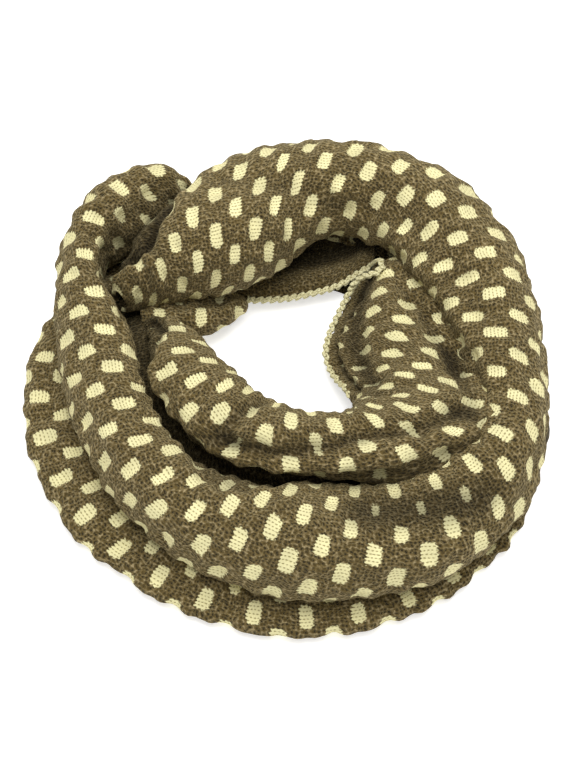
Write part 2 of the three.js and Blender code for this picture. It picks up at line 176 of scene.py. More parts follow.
# Folds are soft troughs (depth above 0) and ridges (below 0) along a line on a stretch. A line goes
# through places, each a row of the stretch's table and an angle round its section. Where a fold has a
# side, all the cloth on that side of its line is pushed in, 1 on the left of the line's way and -1 on
# its right: the cloth dives there under its neighbour. Such a line starts and ends off the cloth.
# The knit's material paints shade into the cloth as deep as the folds push it in.
OUTER_FOLDS = [
    {"depth": 8, "width": 6, "side": 1, "line": [
        (-0.5, 160), (0.5, 150), (1.0, 98), (1.4, 88), (1.85, 106), (2.3, 125), (2.8, 142),
        (3.4, 162), (3.4, 290),
    ]},
    {"depth": 5, "width": 5, "line": [
        (0.9, 112), (1.4, 91), (1.85, 108), (2.3, 127), (2.8, 145),
    ]},
    {"depth": 5.0, "width": 11, "line": [(5.6, 20), (4.6, 66), (3.4, 112)]},
    {"depth": 4.5, "width": 12, "line": [(6.3, 30), (7.2, 54), (9.2, 70)]},
    {"depth": 5, "width": 6, "side": -1, "line": [
        (6.4, -80), (6.8, -2), (7.3, 6), (8.5, 12), (9.0, 18), (9.5, 28), (10.0, 38), (10.6, 40),
        (11.2, 30), (11.6, -40),
    ]},
    {"depth": 8, "width": 24, "line": [(14.0, 74), (13.4, 82), (12.8, 94), (12.4, 112)]},
    {"depth": 6, "width": 7, "side": -1, "line": [
        (15.1, -40), (15.4, 30), (15.7, 44), (16.0, 60), (16.3, 68), (16.6, 60), (16.9, 42),
        (17.3, 26), (18.2, 14), (19.6, 18), (19.9, 26), (20.5, 36), (20.8, 34), (21.1, 31),
        (21.7, 28), (22.2, 31), (22.7, 44), (23.3, 54), (23.9, 62), (24.6, 66), (25.3, 70),
        (25.6, -60),
    ]},
    {"depth": -3.5, "width": 13, "line": [(22.6, 100), (23.4, 112), (24.2, 110)]},
    {"depth": 3.0, "width": 10, "line": [(21.4, 112), (22.2, 88), (22.5, 66)]},
    {"depth": 2.5, "width": 10, "line": [(17.6, 150), (19.6, 120)]},
    {"depth": 2.5, "width": 9, "line": [(14.2, 150), (15.6, 172), (17.2, 176)]},
    {"depth": 2.5, "width": 10, "line": [(9.6, 150), (10.8, 165), (12.0, 160)]},
    {"depth": 2.0, "width": 9, "line": [(5.4, 160), (6.6, 172), (7.8, 170)]},
]
INNER_FOLDS = [
    {"depth": 7.5, "width": 8, "line": [
        (9.4, 140), (8.2, 130), (7.5, 112), (6.9, 92), (6.1, 98), (5.2, 96),
    ]},
    {"depth": 7.0, "width": 8, "line": [(9.2, 40), (9.6, 90), (9.9, 150)]},
    {"depth": 6.5, "width": 9, "line": [
        (1.4, 84), (2.5, 92), (3.6, 92), (4.5, 96), (5.2, 108),
    ]},
    {"depth": -3.0, "width": 10, "line": [(1.4, 76), (3.0, 68), (4.6, 60)]},
    {"depth": 8.0, "width": 15, "line": [(0.6, 45), (2.0, 38), (3.4, 36), (4.8, 32)]},
    {"depth": 8.0, "width": 7, "line": [(0.5, 24), (2.0, 16), (3.2, 13), (4.8, 12)]},
    {"depth": 4.5, "width": 8, "line": [(5.3, 10), (5.5, 40), (5.2, 62)]},
    {"depth": 4.0, "width": 7, "line": [(3.4, 96), (4.0, 88)]},
    {"depth": 7, "width": 6, "side": 1, "line": [
        (4.4, 260), (4.9, 125), (5.2, 121), (5.7, 127), (6.2, 138), (6.6, 149), (7.1, 165),
        (7.6, 174), (8.0, 181), (8.5, 185), (9.2, 185), (10.0, 178), (10.8, 168), (11.5, 178),
        (12.1, 174), (12.6, 152), (13.0, 128), (13.5, 110), (14.1, 97), (14.6, 86), (15.6, 80),
    ]},
    {"depth": 3.5, "width": 7, "line": [(12.4, 60), (13.4, 90), (14.2, 130)]},
]
BACK_FOLDS = [
    {"depth": 9.0, "width": 7, "side": 1, "line": [
        (-0.5, 108), (1.0, 104), (2.5, 100), (4.0, 92), (5.5, 84),
    ]},
]
LOBE_FOLDS = [
    {"depth": 5.0, "width": 5, "side": 1, "line": [
        (-0.5, 64), (1.0, 66), (2.5, 70), (4.0, 78), (5.5, 92),
    ]},
    {"depth": 2.0, "width": 7, "line": [(1.2, 20), (2.4, 60), (3.2, 75)]},
    {"depth": 2.0, "width": 6, "line": [(3.2, 20), (4.2, 40)]},
]
SKIRT_FOLDS = [
    {"depth": 3.0, "width": 12, "line": [(13.0, 120), (15.2, 132), (16.6, 118)]},
    {"depth": 2.5, "width": 10, "line": [(9.0, 128), (10.4, 118), (11.6, 124)]},
    {"depth": 3.0, "width": 12, "line": [(2.2, 110), (3.6, 128), (4.6, 118)]},
    {"depth": 2.5, "width": 10, "line": [(6.2, 118), (7.4, 130)]},
    {"depth": 2.5, "width": 9, "line": [(17.4, 130), (18.6, 112), (19.4, 120)]},
]
LEAST_HALF = 0.6  # a roll pushed in by folds keeps at least this half width and height

# The cloth's slack: the size of its lumps and how high they are
SLACK = [(34, 1.7), (13, 2.0), (6.5, 1.2)]
DEEPEST = 13  # folds that meet push the cloth in no further
TOP = 90  # the angle of a roll's top
BACK_LEAN = 30  # at the back, lengths are measured this far down on the neck hole's side

# The mesh: sections measured to size it, and its faces across as a share of the widest arc's
ROUGH_ROWS = 200
WIDEST_SHARE = 0.85

# The free edge of the lower turn rolls over without dots: how wide
PLAIN_HEM = 13

# Soft yarn
YARN_GLOSS = 0.2
SHEEN_ROUGHNESS = 0.55
KNIT_ROUGHNESS = 0.92
KNIT_SHEEN = 0.45
KNIT_TINT = (0.70, 0.59, 0.32)
CHAIN_ROUGHNESS = 0.9
CHAIN_SHEEN = 0.2
CHAIN_TINT = (0.9, 0.85, 0.55)
CHAIN_CREAM = (0.84, 0.79, 0.48)
CHAIN_SHADE = (0.44, 0.39, 0.20)
KNIT_BUMP = 1.1
CHAIN_BUMP = 0.4

# Noise in the yarn, in repeats for each millimetre
SWAY_SCALE = 0.05
CURL_SCALE = 0.24
BROKEN_SCALE = 0.5
SPECK_SCALE = 0.7
TWIST_SCALE = 0.9

# How far noise moves the whole pattern, the stitch holes and the dots' edges
SWAY_DRIFT = 5.0
CURL_ALONG = 3.4
CURL_ACROSS = 3.0
SPECK_IN_HOLES = 0.55
SPECK_IN_DOTS = 1.6
SWAY_IN_DOTS = 3.0
HOLE_SCATTER = 0.65  # 0 lays the stitch holes in even rows, 1 at random

LOOP_HEIGHT = 0.7
DOT_HOLE_DEPTH = 0.5
# The wrong side's knit is darkened to this share: painted shade
WRONG_SIDE_SHADE = 0.8
# The hidden layers' knit is darkened to this share: painted shade, as they show only deep in the
# crevices
HIDDEN_PAINTED_SHADE = 0.35
# Painted shade in the folds: the knit's colour and sheen get darker the deeper a fold pushes the cloth
# in
FOLD_PAINTED_SHADE = 0.22  # the share of its brightness that the knit keeps in the deepest folds
HOLLOW_SHRINK = 5.0  # how much the deepest folds take off a dot's edges

# Columns and rows of the small stitches in a dot, and how they step its edges
DOT_COLUMN = 2.3
DOT_ROW = 2.5
DOT_STEP = 2.96
STEP_ALONG = 0.5
STEP_ACROSS = 0.35
STROKE_SLANT = 0.6  # the columns of stitches lean to and fro by this share of their height
DOT_ROUNDNESS = 3.6  # 2 makes the dots ellipses, and more makes them squarer

# A chain stitch of the bound-off edges: its size, the thickness of its yarn, and from one to the next
LINK_WIDTH = 2.4
LINK_LENGTH = 5.6
LINK_YARN = 0.9
LINK_TILT = math.radians(18)
LINK_SWING = math.radians(24)
LINK_STEP = 3.2
FINE_STEPS = 40  # places between two points of a path that is measured
CHAIN_LEAST_HEIGHT = 2.0

# The back edge's chain: rows of the back strip, how far it lies past the cloth's edge and above it
BACK_EDGE_SPAN = (0.05, 5)
BACK_EDGE_STEPS = 24
BACK_EDGE_AWAY = 2.0
BACK_EDGE_LIFT = 1.5

# It hooks over the top of the slope: rows and angles of the lower turn, and how far off the cloth
HOOK_PLACES = [(0.28, 66), (0.62, 70), (0.92, 67), (0.98, 58), (0.86, 46), (0.84, 36), (0.9, 28)]
HOOK_AWAY = 1.5

# The slope's chain: rows and angles of the lower turn, and how far off the cloth
SLOPE_EDGE_PLACES = [
    (0.9, 26), (1.1, 17), (1.4, 9), (1.95, 6), (2.4, 5), (3.1, 6), (3.6, 2), (4.15, 2), (4.7, 3),
    (5.1, -2),
]
SLOPE_EDGE_AWAY = 0.8

# The knit's own rows turn away from the band's length: rows of each stretch's table and angles.
OUTER_GRAIN = [
    (0, -8), (2, -18), (4.6, -20), (6.4, -9), (8, -12), (11, -10), (13, -13), (17, -15), (19, -1),
    (21, 3), (24, 9),
]
INNER_GRAIN = [(0, 14), (4, 12), (6, 7), (8, 2), (10, -9), (12, -9), (15, 4)]
STRAIGHT_GRAIN = [(0, 0)]

# Camera: the photo's frame is 576 by 768 pixels of 0.72 mm at the target.
FRAME_HEIGHT = 768 * 0.72
CAMERA_DISTANCE = 900
CAMERA_ELEVATION = 60
CAMERA_TARGET = (2.185, -4.24, 30)
SENSOR = 36

# Floor and lamp, in metres
FLOOR_SIZE = 8
LAMP_SIZE = 0.9
LAMP_PLACE = (0.05, 0.1, 1.22)


# Sizes and colours that a user may change


def length_setting(name, description, size):
    """A length that a user may change, from its size in millimetres."""
    return bpy.props.FloatProperty(
        name=name, description=description, default=size * MM, unit="LENGTH"
    )


def colour_setting(name, description, colour):
    """A colour that a user may change."""
    return bpy.props.FloatVectorProperty(
        name=name, description=description, default=colour, subtype="COLOR", size=3
    )


class ScarfCloth(bpy.types.PropertyGroup):
    thickness: length_setting("Thickness", "Thickness of the knit", 3.0)
    dot_along: length_setting("Dot repeat along", "From dot to dot along the band", 31)
    dot_across: length_setting("Dot repeat across", "From dot to dot across the band", 33.4)
    dot_length: length_setting("Dot length", "Size of a dot along the band", 8.8)
    dot_width: length_setting("Dot width", "Size of a dot across the band", 15.6)
    stitch_along: length_setting("Stitch along", "From hole to hole along the band", 2.59)
    stitch_across: length_setting("Stitch across", "From hole to hole across the band", 2.392)
    pucker: length_setting("Pucker", "How far a dot sinks and the ground puffs up", 0.9)
    rib: length_setting("Rib", "How high the ground puffs up between two rows of dots", 0.8)
    spacing: length_setting("Mesh spacing", "Size of the mesh's faces", 2.25)
    # Painted light and shade in the knit: standing loops get painted light, and the holes between
    # stitches, in the brown and in the dots, get painted shade
    lit_loop_colour: colour_setting("Lit loops", "Brown yarn where a loop stands up", (0.375, 0.292, 0.150))
    ground_colour: colour_setting("Ground", "Brown yarn between the loops", (0.114, 0.078, 0.022))
    hole_shade_colour: colour_setting(
        "Stitch holes", "Brown yarn deep between two stitches", (0.020, 0.013, 0.004)
    )
    dot_colour: colour_setting("Dots", "Cream yarn", (0.84, 0.78, 0.43))
    dot_hole_shade_colour: colour_setting(
        "Holes in dots", "Cream yarn deep between two stitches", (0.46, 0.39, 0.17)
    )


class ScarfStage(bpy.types.PropertyGroup):
    floor_colour: colour_setting("Floor", "Colour of the floor", (0.9, 0.9, 0.9))
    glow: bpy.props.FloatProperty(name="Glow", description="Light that the floor gives", default=0.56)
    sky: bpy.props.FloatProperty(name="Sky", description="Strength of the light all round", default=0.43)
    lamp: bpy.props.FloatProperty(
        name="Lamp", description="Power of the big lamp", default=14.2, unit="POWER"
    )
    elevation: bpy.props.FloatProperty(
        name="Camera elevation", description="Angle of the camera above the floor",
        default=math.radians(CAMERA_ELEVATION), subtype="ANGLE",
    )
    distance: length_setting("Camera distance", "From the camera to its target", CAMERA_DISTANCE)


# Shapes of the cloth


def rows_at(rows, places):
    """The table's rows at places between them, on smooth curves."""
    table = np.array(rows, dtype=float)
    index = np.clip(np.floor(places).astype(int), 0, len(table) - 2)
    t = (places - index)[:, None]
    last = len(table) - 1
    before, left, right, after = (table[np.clip(index + step, 0, last)] for step in (-1, 0, 1, 2))
    cubic = -0.5 * before + 1.5 * left - 1.5 * right + 0.5 * after
    square = before - 2.5 * left + 2 * right - 0.5 * after
    slope = -0.5 * before + 0.5 * right
    return ((cubic * t + square) * t + slope) * t + left


def column(values, name):
    """One column of a roll's sections, by its name."""
    return values[:, COLUMNS.index(name), None]


def fold_reach(fold, places, lengths, degrees, degree_size):
    """Distances of the cloth's points from one fold's line, 0 on the whole of its side."""
    nearest = np.full(degrees.shape, np.inf)
    beside = np.zeros(degrees.shape, dtype=bool)
    for start, end in zip(fold["line"], fold["line"][1:]):
        start_length, end_length = np.interp([start[0], end[0]], places, lengths)
        run_along = end_length - start_length
        run_across = (end[1] - start[1]) * degree_size
        along = lengths[:, None] - start_length
        across = (degrees - start[1]) * degree_size
        share = (along * run_along + across * run_across) / (run_along**2 + run_across**2)
        held = np.clip(share, 0, 1)
        distance = np.hypot(along - held * run_along, across - held * run_across)
        closer = distance < nearest
        nearest = np.where(closer, distance, nearest)
        left = run_along * across - run_across * along
        beside = np.where(closer, left * fold.get("side", 0) > 0, beside)
    return np.where(beside, 0, nearest)


def fold_depth(folds, values, places, degrees):
    """How far the folds push the cloth in at places along a stretch and angles round it."""
    lengths = lengths_along(top_line(values))
    degree_size = np.radians((column(values, "half") + column(values, "rise")) / 2)
    depth = np.zeros(degrees.shape)
    for fold in folds:
        distance = fold_reach(fold, places, lengths, degrees, degree_size)
        depth += fold["depth"] * np.exp(-((distance / fold["width"]) ** 2))
    return np.minimum(depth, DEEPEST)


def roll_points(values, degrees, inset):
    """Points of a roll at angles round its sections, moved in by the inset."""
    angle = np.radians(degrees)
    aim = np.radians(column(values, "aim"))
    reach = -np.maximum(column(values, "half") - inset, LEAST_HALF) * np.cos(angle)
    lift = np.maximum(column(values, "rise") - inset, LEAST_HALF) * np.sin(angle)
    x = column(values, "x") + reach * np.cos(aim) + CENTRE_SHIFT[0]
    y = column(values, "y") + reach * np.sin(aim) + CENTRE_SHIFT[1]
    return np.stack([x, y, np.maximum(column(values, "z") + lift, 0)], axis=-1)


def top_line(values):
    """The points on a roll's top."""
    return roll_points(values, np.full((len(values), 1), float(TOP)), 0)[:, 0]


def lengths_along(line):
    """Distances from a line's first point, along the line."""
    return np.concatenate([[0], np.cumsum(np.linalg.norm(np.diff(line, axis=0), axis=-1))])


def normals_of(points, ring):
    """Outward directions of a grid of points."""
    if ring:
        along = np.roll(points, -1, axis=0) - np.roll(points, 1, axis=0)
    else:
        along = np.gradient(points, axis=0)
    across = np.gradient(points, axis=1)
    normals = np.cross(along, across)
    lengths = np.linalg.norm(normals, axis=-1, keepdims=True)
    return normals / np.maximum(lengths, 1e-9)


def noise_at(points, wavelength, seed):
    """Smooth noise from -1 to 1 at each point, the same on every run."""
    flat = points.reshape(-1, 3) / wavelength + np.array([seed * 7.3, seed * 3.1, seed * 11.7])
    values = np.array([noise.noise(Vector(point)) for point in flat])
    return values.reshape(points.shape[:-1])


def sunk(cloth, u, v):
    """How far the cloth sinks at the dots and stands up between them, and in ribs between their rows."""
    along = 2 * math.pi * u * MM / cloth.dot_along
    across = 2 * math.pi * v * MM / cloth.dot_across
    return (cloth.pucker * np.cos(along) * np.cos(across) + cloth.rib * np.cos(2 * along)) / MM


def cloth_lengths(values, points, degrees):
    """Distances in the cloth: along the band on its middle, and across it from the roll's top."""
    middle = TOP - BACK_LEAN * np.maximum(np.sin(np.radians(column(values, "aim"))), 0)
    u = lengths_along(roll_points(values, middle, 0)[:, 0])
    across_steps = np.linalg.norm(np.diff(points, axis=1), axis=-1)
    v = np.concatenate([np.zeros((len(points), 1)), np.cumsum(across_steps, axis=1)], axis=1)
    at_top = np.array([np.interp(TOP, degrees[i], v[i]) for i in range(len(v))])
    return np.repeat(u[:, None], v.shape[1], axis=1), v - at_top[:, None]


def along_grain(u, v, places, grain):
    """The lengths along and across the knit's own rows, which turn away from the band's length."""
    turn = np.radians(np.interp(places, *zip(*grain)))
    steps = np.diff(u[:, 0], prepend=u[0, 0])
    forward = np.cumsum(steps * np.cos(turn))[:, None]
    drift = np.cumsum(steps * np.sin(turn))[:, None]
    turn = turn[:, None]
    return forward + v * np.sin(turn), v * np.cos(turn) - drift


def grid_faces(along, across, ring):
    """Faces of a grid of points, wound to face outwards."""
    faces = []
    for i in range(along if ring else along - 1):
        here = i * across
        after = ((i + 1) % along) * across
        for j in range(across - 1):
            faces.append((here + j, after + j, after + j + 1, here + j + 1))
    return faces


def smooth_mesh(name, points, faces):
    """A smoothly shaded mesh of points in millimetres."""
    mesh = bpy.data.meshes.new(name)
    mesh.from_pydata((np.array(points) * MM).tolist(), [], faces)
    mesh.update()
    mesh.shade_smooth()
    return mesh


def sheet_mesh(name, points, u, v, whole):
    """A mesh of a grid of points, with the cloth's own lengths as its UV map.

    A ring gives its whole length, and any other stretch gives 0.
    """
    along, across = points.shape[:2]
    faces = grid_faces(along, across, bool(whole))
    mesh = smooth_mesh(name, points.reshape(-1, 3), faces)
    layer = mesh.uv_layers.new(name="cloth")
    uv = np.stack([u.reshape(-1), v.reshape(-1)], axis=-1) * MM
    corners = np.empty(len(mesh.loops), dtype=int)
    mesh.loops.foreach_get("vertex_index", corners)
    placed = uv[corners]
    if whole:  # the last faces go on from the longest length instead of back to 0
        last = np.repeat(np.arange(len(faces)) >= (along - 1) * (across - 1), 4)
        first_points = corners < across
        placed[last & first_points, 0] = whole * MM
    layer.data.foreach_set("uv", placed.reshape(-1))
    return mesh


def add_object(name, mesh, material):
    """A new object at the origin that rides on the scarf's body."""
    piece = bpy.data.objects.new(name, mesh)
    bpy.context.scene.collection.objects.link(piece)
    piece.data.materials.append(material)
    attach(piece, "root")
    return piece


def apply_modifiers(piece):
    """Applies every modifier of a piece, in order."""
    bpy.ops.object.select_all(action="DESELECT")
    piece.select_set(True)
    bpy.context.view_layer.objects.active = piece
    for modifier in list(piece.modifiers):
        bpy.ops.object.modifier_apply(modifier=modifier.name)
    piece.select_set(False)


def grid_size(rows, span, spacing):
    """How many faces a stretch gets along and across, and its length on the top."""
    values = rows_at(rows, np.linspace(*span, ROUGH_ROWS))
    length = lengths_along(top_line(values))[-1]
    turned = np.radians(column(values, "end") - column(values, "start"))
    arcs = turned * (column(values, "half") + column(values, "rise")) / 2
    return int(length / spacing) + 1, int(arcs.max() * WIDEST_SHARE / spacing) + 1, length


def set_amounts(piece, name, amounts):
    """Stores a number for each point of a piece, for its material."""
    layer = piece.data.attributes.new(name, "FLOAT", "POINT")
    layer.data.foreach_set("value", amounts.reshape(-1))


def cloth_piece(
    name, rows, folds, span, material, grain=STRAIGHT_GRAIN, relief=1.0, hem=0, ring=False, seed=1
):
    """A sheet of knit on a stretch's roll, with its folds and puckered dots, as thick as the cloth."""
    cloth = bpy.context.scene.scarf_cloth
    along, across, length = grid_size(rows, span, cloth.spacing / MM)
    places = np.linspace(*span, along + 1)
    values = rows_at(rows, places)
    first, last = column(values, "start"), column(values, "end")
    degrees = first + (last - first) * np.linspace(0, 1, across + 1)
    depth = fold_depth(folds, values, places, degrees)
    points = roll_points(values, degrees, depth)
    u, v = cloth_lengths(values, points, degrees)
    width = (v.max(axis=1) - v.min(axis=1)).mean()
    whole = 0
    if ring:  # a whole number of dots closes the pattern, and the last row is the first one again
        whole = round(u[-1, 0] * MM / cloth.dot_along) * cloth.dot_along / MM
        u = u * whole / u[-1, 0]
        places, depth, points, u, v = (part[:-1] for part in (places, depth, points, u, v))
    in_hem = np.maximum(hem - (v - v[:, :1]), 0)
    u, v = along_grain(u, v, places, grain)
    slack = sum(noise_at(points, size, seed + size) * height for size, height in SLACK)
    points = points + normals_of(points, ring) * (relief * (slack - sunk(cloth, u, v)))[..., None]
    points[..., 2] = np.maximum(points[..., 2], 0)
    piece = add_object(name, sheet_mesh(name, points, u, v, whole), material)
    # hollow is how far the folds push the cloth in: the material paints shade by it and shrinks the dots
    # there
    set_amounts(piece, "hollow", np.clip(depth / DEEPEST, 0, 1))
    set_amounts(piece, "hem", in_hem)
    wall = piece.modifiers.new("Wall", "SOLIDIFY")
    wall.thickness = cloth.thickness
    wall.offset = -1
    apply_modifiers(piece)
    piece["cut_length"] = float(length * MM)
    piece["cut_width"] = float(width * MM)
    return piece


# Materials


def node_math(tree, operation, *values):
    """A Math node's result for sockets or plain numbers."""
    node = tree.nodes.new("ShaderNodeMath")
    node.operation = operation
    for socket, value in zip(node.inputs, values):
        if isinstance(value, bpy.types.NodeSocket):
            tree.links.new(value, socket)
        else:
            socket.default_value = value
    return node.outputs[0]


def node_range(tree, value, low, high, to_low=0.0, to_high=1.0):
    """A value run smoothly from one range to another."""
    node = tree.nodes.new("ShaderNodeMapRange")
    node.interpolation_type = "SMOOTHSTEP"
    tree.links.new(value, node.inputs["Value"])
    node.inputs["From Min"].default_value = low
    node.inputs["From Max"].default_value = high
    node.inputs["To Min"].default_value = to_low
    node.inputs["To Max"].default_value = to_high
    return node.outputs["Result"]


def node_mix(tree, factor, first, second):
    """Two colours mixed by a factor. A colour is a socket or three numbers."""
    node = tree.nodes.new("ShaderNodeMix")
    node.data_type = "RGBA"
    tree.links.new(factor, node.inputs["Factor"])
    for socket, value in ((node.inputs[6], first), (node.inputs[7], second)):
        if isinstance(value, bpy.types.NodeSocket):
            tree.links.new(value, socket)
        else:
            socket.default_value = (*value, 1)
    return node.outputs[2]


def node_noise(tree, vector, scale, detail=2.0):
    """Noise from 0 to 1 at a scale in repeats for each unit of the vector."""
    node = tree.nodes.new("ShaderNodeTexNoise")
    node.inputs["Scale"].default_value = scale
    node.inputs["Detail"].default_value = detail
    tree.links.new(vector, node.inputs["Vector"])
    return node.outputs["Fac"]


def centred_noise(tree, vector, scale, detail=2.0):
    """Noise from -0.5 to 0.5."""
    return node_math(tree, "SUBTRACT", node_noise(tree, vector, scale, detail), 0.5)


def plus(tree, value, other, factor=1.0):
    """A value and a factor times another one, added up."""
    return node_math(tree, "MULTIPLY_ADD", other, factor, value)


def node_attribute(tree, name):
    """The value of one of the piece's vertex attributes."""
    node = tree.nodes.new("ShaderNodeAttribute")
    node.attribute_name = name
    return node.outputs["Fac"]


def cosine(tree, value, repeat):
    """The cosine of a length in millimetres that repeats over another."""
    return node_math(tree, "COSINE", node_math(tree, "MULTIPLY", value, 2 * math.pi / repeat))


def wrapped(tree, value, repeat, shift):
    """A length's distance from the nearest repeat, in millimetres."""
    turned = node_math(tree, "ADD", value, shift + repeat / 2)
    return node_math(tree, "SUBTRACT", node_math(tree, "FLOORED_MODULO", turned, repeat), repeat / 2)


def dot_edge(tree, u, v, cloth, shift_u, shift_v):
    """Distance from the edge of the nearest dot of one set, below 0 inside it, in millimetres."""
    half_u = cloth.dot_length / MM / 2
    half_v = cloth.dot_width / MM / 2
    near_u = node_math(tree, "ABSOLUTE", wrapped(tree, u, cloth.dot_along / MM, shift_u))
    near_v = node_math(tree, "ABSOLUTE", wrapped(tree, v, cloth.dot_across / MM, shift_v))
    part_u = node_math(tree, "POWER", node_math(tree, "DIVIDE", near_u, half_u), DOT_ROUNDNESS)
    part_v = node_math(tree, "POWER", node_math(tree, "DIVIDE", near_v, half_v), DOT_ROUNDNESS)
    share = node_math(tree, "POWER", node_math(tree, "ADD", part_u, part_v), 1 / DOT_ROUNDNESS)
    return node_math(tree, "MULTIPLY", node_math(tree, "SUBTRACT", share, 1.0), half_u)


def new_material(name, roughness, sheen, tint):
    """A material with the gloss of soft yarn, and its tree and shader."""
    material = bpy.data.materials.new(name)
    material.use_nodes = True
    tree = material.node_tree
    shader = tree.nodes["Principled BSDF"]
    shader.inputs["Roughness"].default_value = roughness
    shader.inputs["Specular IOR Level"].default_value = YARN_GLOSS
    shader.inputs["Sheen Weight"].default_value = sheen
    shader.inputs["Sheen Roughness"].default_value = SHEEN_ROUGHNESS
    shader.inputs["Sheen Tint"].default_value = (*tint, 1)
    return material, tree, shader


def add_bump(tree, shader, height, distance):
    """Raises the surface where the height is above 0, by up to a distance in millimetres."""
    bump = tree.nodes.new("ShaderNodeBump")
    bump.inputs["Distance"].default_value = distance * MM
    bump.inputs["Strength"].default_value = 1.0
    tree.links.new(height, bump.inputs["Height"])
    tree.links.new(bump.outputs["Normal"], shader.inputs["Normal"])


def cloth_coordinates(tree, from_map):
    """Lengths along and across the band in millimetres, and both as one vector."""
    if from_map:
        source = tree.nodes.new("ShaderNodeUVMap")
        source.uv_map = "cloth"
        vector = source.outputs["UV"]
    else:
        vector = tree.nodes.new("ShaderNodeTexCoord").outputs["Object"]
    scaled = tree.nodes.new("ShaderNodeVectorMath")
    scaled.operation = "SCALE"
    scaled.inputs["Scale"].default_value = 1 / MM
    tree.links.new(vector, scaled.inputs[0])
    parts = tree.nodes.new("ShaderNodeSeparateXYZ")
    tree.links.new(scaled.outputs[0], parts.inputs[0])
    return parts.outputs["X"], parts.outputs["Y"], scaled.outputs[0]


def node_cells(tree, u, v, width, height):
    """Distance from the nearest stitch hole's middle, and a number that differs between holes."""
    joined = tree.nodes.new("ShaderNodeCombineXYZ")
    tree.links.new(node_math(tree, "DIVIDE", u, width), joined.inputs["X"])
    tree.links.new(node_math(tree, "DIVIDE", v, height), joined.inputs["Y"])
    cells = tree.nodes.new("ShaderNodeTexVoronoi")
    cells.voronoi_dimensions = "2D"
    cells.inputs["Scale"].default_value = 1.0
    cells.inputs["Randomness"].default_value = HOLE_SCATTER
    tree.links.new(joined.outputs[0], cells.inputs["Vector"])
    parts = tree.nodes.new("ShaderNodeSeparateColor")
    tree.links.new(cells.outputs["Color"], parts.inputs[0])
    return cells.outputs["Distance"], parts.outputs[0]


def knit_ground(tree, cloth, u, v, vector, speck):
    """Brown loops between stitch holes: their colour, with painted light on the standing loops and
    painted shade in the holes, and their height.
    """
    curl = centred_noise(tree, vector, CURL_SCALE)
    loose_u = plus(tree, u, curl, CURL_ALONG)
    loose_v = plus(tree, v, curl, -CURL_ACROSS)
    far, chance = node_cells(tree, loose_u, loose_v, cloth.stitch_along / MM, cloth.stitch_across / MM)
    rough = plus(tree, far, speck, SPECK_IN_HOLES)
    deep = node_range(tree, chance, 0.0, 0.5, 0.45, 1.0)
    hole = node_math(tree, "MULTIPLY", node_range(tree, rough, 0.40, 0.10), deep)
    broken = node_range(tree, node_noise(tree, vector, BROKEN_SCALE), 0.40, 0.60, 0.25, 1.0)
    loop = node_math(tree, "MULTIPLY", node_range(tree, rough, 0.38, 0.70), broken)
    # Painted light on the standing loops and painted shade in the stitch holes
    colour = node_mix(tree, loop, cloth.ground_colour, cloth.lit_loop_colour)
    colour = node_mix(tree, hole, colour, cloth.hole_shade_colour)
    height = node_math(tree, "SUBTRACT", node_math(tree, "MULTIPLY", loop, LOOP_HEIGHT), hole)
    return colour, height


def dot_mask(tree, cloth, u, v, speck, sway, hollow):
    """1 in the dots, 0 outside. Stitches step their edges, and folds and the hem shrink them."""
    jag_u = plus(tree, u, cosine(tree, v, DOT_ROW), STEP_ALONG)
    jag_v = plus(tree, v, cosine(tree, u, DOT_STEP), STEP_ACROSS)
    first = dot_edge(tree, jag_u, jag_v, cloth, 0, 0)
    second = dot_edge(tree, jag_u, jag_v, cloth, cloth.dot_along / MM / 2, cloth.dot_across / MM / 2)
    edge = node_math(tree, "MINIMUM", first, second)
    edge = plus(tree, edge, speck, SPECK_IN_DOTS)
    edge = plus(tree, edge, sway, SWAY_IN_DOTS)
    edge = plus(tree, edge, node_range(tree, hollow, 0.3, 1.0, 0.0, HOLLOW_SHRINK))
    edge = plus(tree, edge, node_attribute(tree, "hem"))
    return node_range(tree, edge, 0.3, -0.3)


def dot_holes(tree, u, v, speck):
    """1 in the small holes between a dot's stitches, 0 on their yarn."""
    zigzag = node_math(tree, "ABSOLUTE", wrapped(tree, v, 2 * DOT_ROW, 0))
    columns = cosine(tree, plus(tree, u, zigzag, STROKE_SLANT), DOT_COLUMN)
    strokes = node_math(tree, "MULTIPLY_ADD", columns, 0.4, 0.6)
    holes = node_math(tree, "MULTIPLY", cosine(tree, v, DOT_ROW), strokes)
    return node_range(tree, plus(tree, holes, speck, SPECK_IN_DOTS), 0.2, 1.0)


